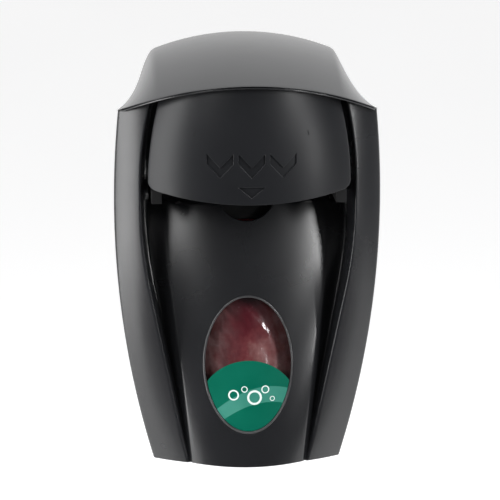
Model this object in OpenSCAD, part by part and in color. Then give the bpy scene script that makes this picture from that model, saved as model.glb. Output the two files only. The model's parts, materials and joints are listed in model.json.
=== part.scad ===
// Wall mounted push dispenser for foam soap, with a pouch refill and an inverted foam pump.
// X runs to the right, -Y comes out of the wall, +Z is up. The origin lies on the wall,
// at the centre of the four wall screws.

/* [Overall size] */
// Width across the widest part of the side rails
body_w = 160; // [156:1:192]
// Height from the bottom edge to the top of the hood
body_h = 254; // [240:1:305]
// Depth from the wall to the front of the hood
body_d = 116; // [108:1:140]

/* [Shells] */
// Thickness of the moulded walls
wall = 2.4; // [1.8:0.1:2.9]
// Gap between the cover's rear edge and the wall
rear_gap = 5; // [4.5:0.5:7]
// Gap of the seam between the hood and the front cover
seam_gap = 0.5; // [0.4:0.1:1.2]
// How much narrower each side is at the wall than at the rails
side_taper = 11; // [8:0.5:13]

/* [Side rails] */
// Width across the rails' outer edges at the bottom edge of the case
bottom_w = 114.4; // [108:0.2:118]
// Distance from the top of the hood down to the widest point
widest_drop = 97; // [80:1:115]
// Depth of the outer edge at the bottom
rail_d_bottom = 54; // [50:1:58]
// How far the top of the outer edge lies behind the hood's front corners
rail_inset = 2; // [1:0.5:5]
// How far the inner edge stands in front of the outer edge
rail_rise = 13; // [10:1:15]
// Width of the rail's face at its narrowest
rail_face_w = 16.8; // [14:0.2:20]
// Width of the rail's face at the bottom edge
rail_face_w_low = 21; // [18:0.1:22]

/* [Centre column] */
// Depth of the column at the bottom edge
column_d = 80; // [76:1:84]
// How far the column's top lies behind its bottom
column_lean = 26; // [20:1:28]
// How far the column's shoulders fall back from its middle, at the ledge
column_crown = 8; // [6:0.5:9]
// How far they fall back at the bottom edge
column_crown_low = 12; // [10:0.5:13]
// Width of the valley beside the column, at the top
valley_w = 16; // [12:1:18]
// Distance from the top of the hood down to the column's top ledge
ledge_drop = 95.2; // [91:0.2:98]
// Depth of the recess behind the push panel
recess_d = 44; // [43:0.5:46]
// Depth of the valley's floor at the ledge
valley_d = 40; // [39:0.5:41]
// Radius of the scoop in the column's top edge
scoop_r = 18; // [14:1:20]

/* [Hood] */
// Depth of the hood's front corners
corner_d = 70; // [68:1:74]
// Distance from the top of the hood down to its front corners
corner_drop = 39.2; // [37:0.2:41]
// Rise of the hood's front edge, from its corners to its middle
brim_rise = 19.2; // [16:0.1:22]
// Rise of the hood's rear arch
crown_rise = 10; // [8:0.5:12]
// How far the rear arch's ends lie inside the rails
crown_inset = 26; // [22:1:30]

/* [Window] */
// Width of the oval window
window_w = 54.2; // [44:0.2:56]
// Height of the oval window
window_h = 82.6; // [68:0.2:88]
// Height of the window's centre over the bottom edge
window_rise = 61.8; // [56:0.2:66]
// Width of the rim round the window
bezel_w = 1.4; // [1:0.1:2]
// Distance from the window's lowest point up to the label's top edge at its middle
label_h = 44; // [36:1:50]

/* [Push panel] */
// Height of the panel's lower edge, in the middle, below the top of the hood
panel_drop = 89.2; // [86:0.2:92]
// Gap between the panel and the rails
panel_gap = 3.6; // [3:0.1:4.5]
// How far the panel lies behind the hood's front edge
panel_inset = 3.5; // [3:0.5:5]
// Depth of the panel's side returns
panel_return = 12; // [8:1:14]
// Angle that the panel swings through
push_deg = 8; // [5:1:8]

/* [Refill and pump] */
// Half-width of the refill pouch
bag_half_w = 41; // [36:0.5:41.5]
// Distance from the wall to the pump's axis
pump_d = 43; // [40:1:46]
// Inside radius of the pump's barrel
barrel_r = 8.5; // [7.5:0.1:9]
// Thickness of the pump's barrel
barrel_t = 1.5; // [1.2:0.1:1.8]
// Radius of the piston's stem
stem_r = 4.5; // [4:0.1:5]
// Radius of the nozzle's outlet
outlet_r = 2.6; // [2:0.1:3]

/* [Fasteners and pins] */
// Width between the wall screws
screw_span_x = 76; // [60:1:80]
// Height between the wall screws
screw_span_z = 150; // [120:1:160]
// Radius of the wall screws' holes
screw_hole_r = 2.6; // [2:0.1:3]
// Radius of the cover's hinge pins
hinge_pin_r = 2.5; // [2:0.1:3]
// Radius of the push panel's pivot pins
pivot_pin_r = 2; // [1.6:0.1:2.4]
// Radial clearance of a pin or piston that turns or slides
running_fit = 0.05; // [0.02:0.01:0.1]

/* [Hidden] */

black = [0.07, 0.07, 0.08];
dark = [0.16, 0.16, 0.17];
grey = [0.55, 0.56, 0.58];
$fn = 48;

// Landmarks
half_w = body_w / 2 - 0.3;
top_z = body_h / 2;
bot_z = -body_h / 2;
widest_z = top_z - widest_drop;
corner_z = top_z - corner_drop;
ledge_z = top_z - ledge_drop;
ledge_h = 6;
rail_r = arc_r(widest_z - bot_z, half_w - bottom_w / 2);
snug = 0.02;
small_gap = 0.3;

// Small helpers
function mix(a, b, t) = a + (b - a) * t;
function cap(t) = max(0, min(1, t));
function arc_r(half, rise) = (half * half + rise * rise) / (2 * rise);
function arc_fall(x, r) = r - sqrt(max(0, r * r - x * x));

// Side rails: outer edge, inner edge and their depths at height z
function rail_out_x(z) = half_w - arc_fall(z - widest_z, rail_r);
function rail_t(z) = cap((z - bot_z) / (corner_z - bot_z));
function rail_out_y(z) = -mix(rail_d_bottom, corner_d - rail_inset, rail_t(z));
function rail_in_y(z) = rail_out_y(z) - rail_rise;

inner_top_r = 195;
inner_low_r = 240;
inner_flat_top = top_z - 82;
inner_flat_low = widest_z;
low_run = inner_flat_low - bot_z;
low_fall = half_w - rail_face_w - bottom_w / 2 + rail_face_w_low;
rail_slope = (low_run - sqrt(pow(low_run, 2) - 2 * inner_low_r * low_fall)) / inner_low_r;
inner_tangent = rail_slope * inner_low_r;
function rail_in_x(z) = half_w - rail_face_w - (
    z > inner_flat_top ? pow(z - inner_flat_top, 2) / (2 * inner_top_r) :
    z > inner_flat_low ? 0 :
    z > inner_flat_low - inner_tangent ? pow(inner_flat_low - z, 2) / (2 * inner_low_r) :
    inner_tangent * rail_slope / 2 + (inner_flat_low - inner_tangent - z) * rail_slope);
function side_x(z) = rail_out_x(z) - side_taper;

// Centre column: its depth, its shoulders and the valley beside it
valley_w_low = 3;
valley_drop_low = 1.2;
function column_t(z) = (z - bot_z) / (ledge_z - bot_z);
function ledge_t(z) = cap((z - ledge_z + ledge_h / 2) / ledge_h);
function column_y(z) = -mix(column_d - column_lean * pow(min(1, column_t(z)), 2), recess_d, ledge_t(z));
function crown(z) = mix(mix(column_crown_low, column_crown, cap(column_t(z))), 0, ledge_t(z));
function shoulder_x(z) = rail_in_x(z) - mix(valley_w_low, valley_w, cap(column_t(z)));
function valley_y(z) = -mix(mix(-rail_in_y(bot_z) - valley_drop_low, valley_d, cap(column_t(z))),
    recess_d, ledge_t(z));
function column_surface_y(x, z) = column_y(z) + crown(z) * pow(x / shoulder_x(z), 2);

// Hood: front edge in plan and in height, rear arch, and the surface between them
corner_x = rail_out_x(corner_z) + 0.2;
brim_plan_r = arc_r(corner_x, body_d - corner_d);
brim_arch_r = arc_r(corner_x, brim_rise);
crown_x = half_w - crown_inset;
crown_r = arc_r(crown_x, crown_rise);
crown_share = crown_x / corner_x;
hood_dome = 1.8;
function brim_y(x) = -body_d + arc_fall(x, brim_plan_r);
function brim_z(x) = corner_z + brim_rise - arc_fall(x, brim_arch_r);
function seam_z(x) = brim_z(x) - seam_gap * (1 + pow(abs(x) / corner_x, 6));
function hood_rear_x(u) = abs(u) < crown_share ? u * corner_x :
    sign(u) * mix(crown_x, side_x(corner_z), pow((abs(u) - crown_share) / (1 - crown_share), 0.6));
function hood_rear_z(u) = abs(u) < crown_share ? top_z - arc_fall(u * corner_x, crown_r) :
    mix(top_z - crown_rise, corner_z, (abs(u) - crown_share) / (1 - crown_share));
function hood_point(u, v) = [
    mix(hood_rear_x(u), u * corner_x, v),
    mix(-rear_gap, brim_y(u * corner_x), v),
    mix(hood_rear_z(u), brim_z(u * corner_x), pow(v, hood_dome))];
function hood_v(u, y) = (y + rear_gap) / (brim_y(u * corner_x) + rear_gap);
function hood_z(x, y) = hood_point(x / corner_x, hood_v(x / corner_x, y))[2];

// Push panel, under the thin arch that the front cover has below the hood's front edge
arch_h = 1;
arch_d = 6.5;
panel_top_gap = 0.4;
panel_low_z = top_z - panel_drop;
panel_side_rise = 6.4;
panel_top_z = brim_z(0) - seam_gap - arch_h - panel_top_gap;
panel_corner_r = 4;
panel_edge_y = brim_y(rail_in_x(panel_low_z) - panel_gap) + panel_inset + 2;
panel_front_y = -body_d + panel_inset;
panel_bulge = 1.5;

// Pivot of the push lever, its toes, and the lift that the toes give the yoke
pivot_drop = 38.5;
pivot_z = top_z - pivot_drop;
pivot_lug_r = 4.5;
pivot_lug_t = 3.5;
pivot_lug_inset = 10.05;
pivot_lug_x = rail_in_x(pivot_z) - panel_gap - wall - pivot_lug_inset;
ear_in_x = pivot_lug_x + pivot_lug_t + small_gap;
ear_w = 3.5;
pivot_y = panel_y(ear_in_x + ear_w, pivot_z) + pivot_lug_r + 1.5 * wall;
toe_r = 3.5;
toe_y = -31.5;
toe_drop = 38;
toe_z = ledge_z - toe_drop;
toe_reach_y = toe_y - pivot_y;
toe_reach_z = toe_z - pivot_z;
pump_stroke = toe_reach_y * sin(push_deg) - toe_reach_z * (1 - cos(push_deg));
toe_slide = -toe_reach_z * sin(push_deg) - toe_reach_y * (1 - cos(push_deg));

// Hinge of the cover, at the lower rear edge
hinge_round = 7;
hinge_y = -(rear_gap + hinge_round);
hinge_z = bot_z + hinge_round;
hinge_lug_r = 5.6;
hinge_ear_out = side_x(hinge_z) - wall / 2;
hinge_ear_in = side_x(hinge_z) - wall - 5.5;
hinge_knuckle_w = 6.5;

// Wall plate
plate_t = 3.5;
flange_t = 2.5;
flange_d = 16;
flange_gap = 1.6;
tape_x = 52;
tape_w = 10;
tape_h = 100;
tape_t = 1;

// Heights of the refill and the pump, from the bottom edge up
nozzle_z = bot_z + 3;
yoke_z = bot_z + 15;
yoke_t = 4;
collar_z = bot_z + 33;
fork_z = bot_z + 37;
fork_t = 4;
collar_h = 12;
neck_z = collar_z + collar_h;
flange_z = neck_z + 6;
bag_z = flange_z + 3;
barrel_z = collar_z + 2.1;
barrel_top = bot_z + 63;
piston_z = barrel_z + 0.5;
piston_h = 5.5;
bag_top = top_z - 29;
bag_low_top = ledge_z - 14;
bag_rear_y = -(plate_t + 4.5);
bag_gap = 5.5;
bag_bow = 28;
bag_rear_round = 8;
bag_low_round = 5;
bag_mid_round = 14;
bag_high_round = 10;
bag_seam_round = 5;
bag_corner_low = 16;
bag_corner_high = 8;
function bag_front_y(z) = column_y(z) + wall + bag_gap;

// Yoke straps and their guides
strap_x = bag_half_w + 2;
strap_t = 3;
strap_rear_y = -20;
strap_front_y = -34;
shelf_out_x = strap_x + 7.4;
shelf_z = toe_z + toe_r + small_gap;
shelf_t = 3;

// Push lever side arms
arm_in_x = shelf_out_x + 0.8;
arm_w = 6;
bridge_in_x = min(ear_in_x, arm_in_x);
bridge_out_x = max(ear_in_x + ear_w, arm_in_x + 1);
arm_block_z = ledge_z + 2.5;
arm_bridge_z = arm_block_z + 8;
arm_bridge_h = 6;
arm_bridge_lap = 2;
arm_low_gap = 6;
arm_block_h = 8;
arm_y = panel_edge_y + wall + 1.5;
arm_t = 7;
leg_front_y = -36;
leg_t = 6.5;

// Closed shell between an outer and an inner grid of points with the same rows and columns
module shell(outer, inner) {
    rows = len(outer);
    cols = len(outer[0]);
    n = rows * cols;
    points = [for (g = [outer, inner]) for (row = g) for (p = row) p];
    function id(r, c) = r * cols + c;
    function quad(a, b, c, d) = [[a, b, c], [a, c, d]];
    front = [for (r = [0:rows - 2]) for (c = [0:cols - 2])
        each quad(id(r, c), id(r + 1, c), id(r + 1, c + 1), id(r, c + 1))];
    back = [for (r = [0:rows - 2]) for (c = [0:cols - 2])
        each quad(n + id(r, c), n + id(r, c + 1), n + id(r + 1, c + 1), n + id(r + 1, c))];
    ends = [for (c = [0:cols - 2]) each concat(
        quad(id(0, c), id(0, c + 1), n + id(0, c + 1), n + id(0, c)),
        quad(id(rows - 1, c + 1), id(rows - 1, c), n + id(rows - 1, c), n + id(rows - 1, c + 1)))];
    sides = [for (r = [0:rows - 2]) each concat(
        quad(id(r + 1, 0), id(r, 0), n + id(r, 0), n + id(r + 1, 0)),
        quad(id(r, cols - 1), id(r + 1, cols - 1), n + id(r + 1, cols - 1), n + id(r, cols - 1)))];
    polyhedron(points, concat(front, back, ends, sides), convexity = 8);
}

// Path moved inwards by d in the XY plane, mitred at its corners; z stays
function seg_normal(a, b) = let (v = [b[0] - a[0], b[1] - a[1]], l = norm(v)) [-v[1] / l, v[0] / l];
function inset_path(p, d) = [for (i = [0:len(p) - 1]) let (
    n1 = seg_normal(p[max(0, i - 1)], p[max(1, i)]),
    n2 = seg_normal(p[min(len(p) - 2, i)], p[min(len(p) - 1, i + 1)]),
    m = (n1 + n2) / (1 + n1 * n2)) [p[i][0] + d * m[0], p[i][1] + d * m[1], p[i][2]]];
function mirrored(half) = concat(
    [for (i = [len(half) - 1:-1:1]) [-half[i][0], half[i][1], half[i][2]]], half);

// Linear extrusion of a shape drawn in Y and Z, along X from x0 to x1
module along_x(x0, x1) {
    translate([x0, 0, 0]) rotate([90, 0, 90]) linear_extrude(x1 - x0) children();
}

// Linear extrusion of a shape drawn in X and Z, along Y from y0 to y1
module along_y(y0, y1) {
    translate([0, y1, 0]) rotate([90, 0, 0]) linear_extrude(y1 - y0) children();
}

module both_sides() {
    children();
    mirror([1, 0, 0]) children();
}

module pin_x(x0, x1, y, z, r) {
    translate([x0, y, z]) rotate([0, 90, 0]) cylinder(r = r, h = x1 - x0);
}

// Pan head screw along +Z, head above z = 0
module screw(r, length, head_r, head_h) {
    translate([0, 0, -length]) cylinder(r = r, h = length + head_h / 2);
    difference() {
        cylinder(r = head_r, h = head_h);
        translate([-head_r * 0.6, -head_h * 0.15, head_h * 0.5]) cube([head_r * 1.2, head_h * 0.3, head_h]);
        translate([-head_h * 0.15, -head_r * 0.6, head_h * 0.5]) cube([head_h * 0.3, head_r * 1.2, head_h]);
    }
}

// ---- Wall side ----

// Outline of the wall plate in X and Z, following the case's rear edge
plate_steps = 12;
plate_top = [for (i = [-8:8]) let (x = crown_x * i / 8) [x, top_z - arc_fall(x, crown_r) - 1]];
plate_side = [for (i = [0:plate_steps]) let (z = mix(corner_z, bot_z + 1, i / plate_steps))
    [side_x(z) - 0.5, z]];

module wall_plate_outline() {
    polygon(concat(plate_top, plate_side,
        [for (i = [plate_steps:-1:0]) [-plate_side[i][0], plate_side[i][1]]]));
}

// Side flange that locates the cover, as a band inside its side wall
function flange_x(z) = side_x(z) - wall - flange_gap;
button_z = corner_z - 22;
button_h = 16;
button_y = -10.5;
button_r = 4;

module flange() {
    steps = 10;
    zs = [for (i = [0:steps]) mix(flange_low_z, corner_z - 4, i / steps)];
    along_y(-flange_d, -plate_t / 2) polygon(concat(
        [for (z = zs) [flange_x(z), z]],
        [for (i = [steps:-1:0]) [flange_x(zs[i]) - flange_t, zs[i]]]));
}

module hinge_knuckle() {
    x0 = hinge_ear_in - small_gap - hinge_knuckle_w;
    along_x(x0, x0 + hinge_knuckle_w) union() {
        translate([hinge_y, hinge_z]) circle(r = hinge_lug_r);
        translate([hinge_y, hinge_z - hinge_lug_r]) square([-hinge_y - plate_t / 2, 2 * hinge_lug_r]);
    }
}

module wall_plate() {
    color(black) difference() {
        union() {
            along_y(-plate_t, 0) wall_plate_outline();
            both_sides() {
                flange();
                hinge_knuckle();
            }
        }
        for (sx = [-1, 1], sz = [-1, 1]) translate([sx * screw_span_x / 2, 1, sz * screw_span_z / 2])
            rotate([90, 0, 0]) cylinder(r = screw_hole_r, h = plate_t + 2);
        both_sides() {
            pin_x(0, hinge_ear_in, hinge_y, hinge_z, hinge_pin_r + snug);
            along_y(-tape_t, 1) translate([tape_x - tape_w / 2, -tape_h / 2]) square([tape_w, tape_h]);
            pin_x(flange_x(button_z) - flange_t - 4, flange_x(button_z) + 4, button_y, button_z,
                button_r + running_fit);
        }
    }
}

module mounting_tape() {
    color(grey) both_sides() translate([tape_x - tape_w / 2, -tape_t, -tape_h / 2])
        cube([tape_w, tape_t, tape_h]);
}

cradle_w = 72;
cradle_top = fork_z + 26;
cradle_ear_x = strap_x + strap_t + 2.6;
cradle_screw_x = 28;
fork_half = 22;
fork_reach = 17;
fork_front_y = -(pump_d + fork_reach);
cradle_reach = 38;
flange_low_z = fork_z + fork_t + 4;
neck_slot_r = barrel_r + barrel_t + 2.2;
strap_clear = 0.4;

module cradle_screw_places() {
    for (sx = [-1, 1], z = [fork_z + 9, fork_z + 20]) translate([sx * cradle_screw_x, 0, z]) children();
}

module cradle() {
    color(dark) difference() {
        union() {
            translate([-cradle_w / 2, -plate_t - 3, fork_z]) cube([cradle_w, 3, cradle_top - fork_z]);
            translate([0, 0, fork_z]) linear_extrude(fork_t) union() {
                translate([-cradle_ear_x, -cradle_reach])
                    square([2 * cradle_ear_x, cradle_reach - plate_t]);
                translate([-fork_half, fork_front_y])
                    square([2 * fork_half, -fork_front_y - cradle_reach / 2]);
            }
            both_sides() along_x(cradle_w / 2 - 2.5, cradle_w / 2)
                polygon([[-plate_t - 1, fork_z + 1], [-18, fork_z + 1], [-plate_t - 1, cradle_top]]);
        }
        translate([0, -pump_d, fork_z - 1]) cylinder(r = neck_slot_r, h = fork_t + 2);
        translate([-neck_slot_r, -pump_d - 40, fork_z - 1]) cube([2 * neck_slot_r, 40, fork_t + 2]);
        both_sides() translate([strap_x - strap_clear, strap_front_y - strap_clear, fork_z - 1])
            cube([strap_t + 2 * strap_clear, strap_rear_y - strap_front_y + 2 * strap_clear, fork_t + 2]);
        cradle_screw_places() translate([0, -plate_t + 1, 0]) rotate([90, 0, 0])
            cylinder(r = 1.5 + snug, h = 6);
    }
}

module cradle_screws() {
    color("silver") cradle_screw_places() translate([0, -plate_t - 3, 0]) rotate([90, 0, 0])
        screw(1.5, 3, 3, 1.8);
}

module hinge_pins() {
    color("silver") both_sides()
        pin_x(hinge_ear_in - small_gap - hinge_knuckle_w, hinge_ear_out - 1, hinge_y, hinge_z, hinge_pin_r);
}

// ---- Refill ----

module bag_side() {
    low_z = bag_z + bag_mid_round;
    high_z = bag_low_top - bag_mid_round;
    shoulder_z = bag_low_top - 2 * bag_high_round;
    hull() {
        translate([bag_front_y(low_z) + bag_low_round, bag_z + bag_low_round]) circle(r = bag_low_round);
        translate([bag_rear_y - bag_rear_round, bag_z + bag_rear_round]) circle(r = bag_rear_round);
        translate([bag_front_y(high_z) + bag_mid_round, high_z]) circle(r = bag_mid_round);
        translate([bag_rear_y - bag_rear_round, bag_low_top]) circle(r = bag_rear_round);
    }
    hull() {
        translate([-recess_d + wall + bag_gap + bag_high_round, shoulder_z]) circle(r = bag_high_round);
        translate([bag_rear_y - bag_rear_round, shoulder_z]) circle(r = bag_rear_round);
        for (d = [2, 3.6]) translate([bag_rear_y - d * bag_seam_round, bag_top - bag_seam_round])
            circle(r = bag_seam_round);
    }
}

module bag_plan() {
    r = arc_r(bag_half_w, bag_bow);
    translate([0, bag_front_y(bag_z + bag_mid_round) + r]) circle(r = r, $fn = 96);
}

module bag_front() {
    hull() for (sx = [-1, 1]) {
        translate([sx * (bag_half_w - bag_corner_low), bag_z + bag_corner_low]) circle(r = bag_corner_low);
        translate([sx * (bag_half_w - bag_corner_high), bag_top - 1.5 * bag_corner_high])
            circle(r = bag_corner_high);
    }
}

module refill_bag() {
    color([0.5, 0.12, 0.16]) difference() {
        intersection() {
            along_x(-bag_half_w, bag_half_w) bag_side();
            along_y(-body_d, 0) bag_front();
            translate([0, 0, bot_z]) linear_extrude(body_h) bag_plan();
        }
        translate([0, -pump_d, bag_z - 1])
            cylinder(r = barrel_r + barrel_t + small_gap, h = barrel_top - bag_z + 6);
    }
}

fitment_r = 17;

module bag_fitment() {
    color([0.85, 0.86, 0.88]) translate([0, -pump_d, 0]) difference() {
        union() {
            translate([0, 0, flange_z]) cylinder(r = fitment_r, h = bag_z - flange_z);
            translate([0, 0, neck_z]) cylinder(r = barrel_r + barrel_t + 2.4, h = flange_z - neck_z + 0.5);
        }
        translate([0, 0, neck_z - 1]) cylinder(r = barrel_r + barrel_t + snug, h = bag_z - neck_z + 2);
    }
}

module pump_barrel() {
    color([0.9, 0.9, 0.92]) translate([0, -pump_d, barrel_z]) difference() {
        cylinder(r = barrel_r + barrel_t, h = barrel_top - barrel_z);
        translate([0, 0, -1]) cylinder(r = barrel_r, h = barrel_top - barrel_z - 1);
        translate([0, 0, barrel_top - barrel_z - 3]) cylinder(r = 3, h = 4);
    }
}

// Collar that clips into the fork's slot, closes the barrel and guides the stem
module pump_collar() {
    outer = barrel_r + barrel_t + 5;
    groove = neck_slot_r - small_gap;
    color([0.9, 0.9, 0.92]) translate([0, -pump_d, collar_z]) difference() {
        union() {
            cylinder(r = outer, h = fork_z - collar_z - 0.2);
            cylinder(r = groove, h = collar_h);
            translate([0, 0, fork_z + fork_t - collar_z + 0.2])
                cylinder(r = outer, h = collar_h - (fork_z + fork_t - collar_z) - 0.2);
        }
        translate([0, 0, -1]) cylinder(r = stem_r + 0.5, h = collar_h + 2);
        translate([0, 0, barrel_z - collar_z]) cylinder(r = barrel_r + barrel_t + snug, h = collar_h);
    }
}

module inlet_valve() {
    color([0.85, 0.85, 0.8]) translate([0, -pump_d, barrel_top]) union() {
        cylinder(r = 5, h = 1.5);
        translate([0, 0, -3]) cylinder(r = 3 - snug, h = 3.5);
        translate([0, 0, -7]) cylinder(r1 = 0.8, r2 = 3 - snug, h = 4.2, $fn = 36);
    }
}

// Coil spring inside the barrel, from the piston up to the barrel's top
spring_r = 6;
spring_wire_r = 0.6;
spring_turns = 6;
spring_low = piston_z + piston_h;
spring_high = barrel_top - 2;

module pump_spring() {
    per_turn = 14;
    sides = 6;
    steps = spring_turns * per_turn;
    rise = spring_high - spring_low - 2 * spring_wire_r - 0.2;
    rings = [for (i = [0:steps]) let (a = 360 * i / per_turn) [for (k = [0:sides - 1]) let (
        b = 360 * k / sides, r = spring_r + spring_wire_r * cos(b))
        [r * cos(a), r * sin(a),
            spring_low + spring_wire_r + 0.1 + rise * i / steps + spring_wire_r * sin(b)]]];
    tube = [for (i = [0:steps - 1]) for (k = [0:sides - 1]) let (
        a = i * sides + k, b = i * sides + (k + 1) % sides, c = a + sides, d = b + sides)
        each [[a, b, c], [b, d, c]]];
    low_end = [[for (k = [sides - 1:-1:0]) k]];
    high_end = [[for (k = [0:sides - 1]) steps * sides + k]];
    color("silver") translate([0, -pump_d, 0])
        polyhedron([for (ring = rings) for (p = ring) p], concat(tube, low_end, high_end), convexity = 10);
}

// ---- Cover ----

// Half of the cover's horizontal section, from the middle of the column to the rear edge
cover_low_rows = 13;
cover_high_rows = 5;
cover_split_z = ledge_z + 9;
side_turn_d = 38;
function cover_half_xy(z) = let (
    xs = shoulder_x(z), xi = rail_in_x(z), xo = rail_out_x(z), yv = valley_y(z)) [
    for (k = [0:4]) [xs * k / 4, column_surface_y(xs * k / 4, z)],
    [mix(xs, xi - 1.5, 0.55), mix(column_surface_y(xs, z), yv, 0.6)],
    [xi - 1.5, yv],
    [xi, rail_in_y(z)],
    [mix(xi, xo, 0.5) + 0.6, mix(rail_in_y(z), rail_out_y(z), 0.5) - 0.6],
    [xo, rail_out_y(z)],
    [xo - side_taper * 0.8, -side_turn_d],
    [xo - side_taper, -rear_gap]];
function cover_top_z(k) = let (x = cover_half_xy(corner_z)[k][0]) k > 9 ? corner_z - seam_gap :
    seam_z(max(x + 1, rail_in_x(corner_z) - 4));
function cover_row_z(r, k) = r <= cover_low_rows ? mix(bot_z, cover_split_z, r / cover_low_rows) :
    mix(cover_split_z, cover_top_z(k), (r - cover_low_rows) / cover_high_rows);
function cover_row(r) = mirrored([for (k = [0:11]) let (
    z = cover_row_z(r, k), p = cover_half_xy(z)[k]) [p[0], p[1], z]]);

module window_shape(extra) {
    translate([0, bot_z + window_rise]) scale([(window_w / 2 + extra) / (window_h / 2 + extra), 1])
        circle(r = window_h / 2 + extra, $fn = 72);
}

floor_rear_y = hinge_y - 10;
floor_t = 2.4;
outlet_opening_r = 24;
slot_in_x = arm_in_x - 1.5;
slot_out_x = arm_in_x + arm_w + 1.2;
slot_rear_y = -34;
slot_low_z = arm_block_z - arm_low_gap;
slot_high_z = arm_block_z + arm_block_h + 12;
hood_boss_x = 47;
hood_boss_off = 3.4;
hood_boss_y = -recess_d + wall + hood_boss_off;
hood_boss_z = corner_z + 2;
hood_screw_r = 1.5;

module cover_floor() {
    z = bot_z + 0.4 + floor_t / 2;
    half = cover_half_xy(z);
    edge = inset_path(mirrored([for (p = half) [p[0], p[1], z]]), wall / 2);
    keep = [for (p = edge) if (p[1] < floor_rear_y) [p[0], p[1]]];
    translate([0, 0, z - floor_t / 2]) linear_extrude(floor_t) difference() {
        polygon(concat([[-side_x(z) - side_taper * 0.15, floor_rear_y]], keep,
            [[side_x(z) + side_taper * 0.15, floor_rear_y]]));
        translate([0, -pump_d]) circle(r = outlet_opening_r);
    }
}

// Thin arch of the front cover that runs under the hood's front edge
arch_steps = 16;
arch_front = 1;
function rail_face_y(x, z) = mix(rail_in_y(z), rail_out_y(z),
    (x - rail_in_x(z)) / (rail_out_x(z) - rail_in_x(z)));
function arch_reach(i, x) = abs(i) < arch_steps ? arch_d :
    max(arch_d, rail_face_y(abs(x), corner_z) + small_gap - arch_front - brim_y(x));
function arch_row(z_off, rear) = [
    for (i = [-arch_steps:arch_steps]) let (x = (corner_x - 2.5) * i / arch_steps)
        [x, brim_y(x) + arch_front + rear * arch_reach(i, x), seam_z(x) + z_off]];

// Wall that closes the scoop from behind
module scoop_back() {
    low_z = panel_low_z - 1 - scoop_r - 0.5;
    along_y(-recess_d - wall, -recess_d) translate([-scoop_r - 2, low_z])
        square([2 * scoop_r + 4, ledge_z + ledge_h / 2 - low_z]);
}

module hinge_ear() {
    along_x(hinge_ear_in, hinge_ear_out) union() {
        translate([hinge_y, hinge_z]) circle(r = hinge_lug_r);
        translate([hinge_y - 14, hinge_z - hinge_lug_r + 0.2]) square([14, hinge_lug_r]);
    }
}

module front_cover() {
    rows = [for (r = [0:cover_low_rows + cover_high_rows]) cover_row(r)];
    color(black) difference() {
        union() {
            shell(rows, [for (row = rows) inset_path(row, wall)]);
            shell([arch_row(-arch_h, 0), arch_row(0, 0)], [arch_row(-arch_h, 1), arch_row(0, 1)]);
            cover_floor();
            scoop_back();
            both_sides() {
                hinge_ear();
                translate([hood_boss_x, hood_boss_y, hood_boss_z - 8]) cylinder(r = 4, h = 8);
            }
        }
        along_y(-body_d, -recess_d) window_shape(0);
        along_y(-body_d, -recess_d - wall) translate([0, panel_low_z - 1]) circle(r = scoop_r);
        both_sides() {
            pin_x(hinge_ear_in - 2, hinge_ear_out - 0.8, hinge_y, hinge_z, hinge_pin_r + running_fit);
            translate([slot_in_x, -column_d, slot_low_z])
                cube([slot_out_x - slot_in_x, column_d + slot_rear_y, slot_high_z - slot_low_z]);
            translate([hood_boss_x, hood_boss_y, hood_boss_z - 9]) cylinder(r = hood_screw_r + snug, h = 10);
            translate([side_x(hinge_z) - 9, hinge_y, bot_z - 1]) difference() {
                cube([14, 20, hinge_round + 1]);
                translate([-1, 0, hinge_round + 1]) rotate([0, 90, 0]) cylinder(r = hinge_round, h = 16);
            }
            button_notch();
        }
    }
}

// Notch in the cover's rear edge for a release button
module button_notch() {
    translate([side_x(button_z) - 6, button_y, button_z]) rotate([0, 90, 0])
        cylinder(r = button_r + 1, h = 12);
    translate([side_x(button_z) - 6, button_y, button_z - button_r - 1]) cube([12, 12, 2 * button_r + 2]);
}

// Point of the hood's inner face, one wall thickness below its outer face but not below the
// level of the front edge
function hood_inner(u, v) = let (
    e = 0.02,
    across = hood_point(min(u + e, 1), v) - hood_point(max(u - e, -1), v),
    along = hood_point(u, min(v + e, 1)) - hood_point(u, max(v - e, 0)),
    up = cross(along, across),
    outer = hood_point(u, v),
    p = outer - wall * up / norm(up))
    [p[0], p[1], max(p[2], min(outer[2], brim_z(p[0])))];

module top_hood() {
    rows = 11;
    cols = 14;
    us = [for (i = [-cols:cols]) mix(i / cols, sin(90 * i / cols), 0.35)];
    outer = [for (j = [rows:-1:0]) [for (u = us) hood_point(u, j / rows)]];
    inner = [for (j = [rows:-1:0]) [for (u = us) hood_inner(u, j / rows)]];
    boss_low_z = hood_boss_z + small_gap;
    boss_high_z = hood_z(hood_boss_x + 2, hood_boss_y - 2) - 0.6 * wall;
    color(black) difference() {
        union() {
            shell(outer, inner);
            both_sides() {
                along_x(pivot_lug_x, pivot_lug_x + pivot_lug_t) union() {
                    translate([pivot_y, pivot_z]) circle(r = pivot_lug_r);
                    polygon([for (y = [pivot_y - pivot_lug_r, pivot_y + pivot_lug_r])
                        [y, hood_z(pivot_lug_x + pivot_lug_t, y) - wall * 0.6],
                        [pivot_y + pivot_lug_r, pivot_z], [pivot_y - pivot_lug_r, pivot_z]]);
                }
                translate([hood_boss_x, hood_boss_y, boss_low_z])
                    cylinder(r = hood_boss_off - small_gap, h = boss_high_z - boss_low_z);
            }
        }
        both_sides() {
            pin_x(pivot_lug_x - 1, pivot_lug_x + pivot_lug_t + 1, pivot_y, pivot_z, pivot_pin_r + snug);
            translate([hood_boss_x, hood_boss_y, hood_boss_z - 1]) cylinder(r = hood_screw_r + snug, h = 9);
        }
    }
}

module hood_screws() {
    color("silver") both_sides() translate([hood_boss_x, hood_boss_y, hood_boss_z - 8.02])
        rotate([180, 0, 0]) screw(hood_screw_r, 15, 3, 1.8);
}

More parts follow.
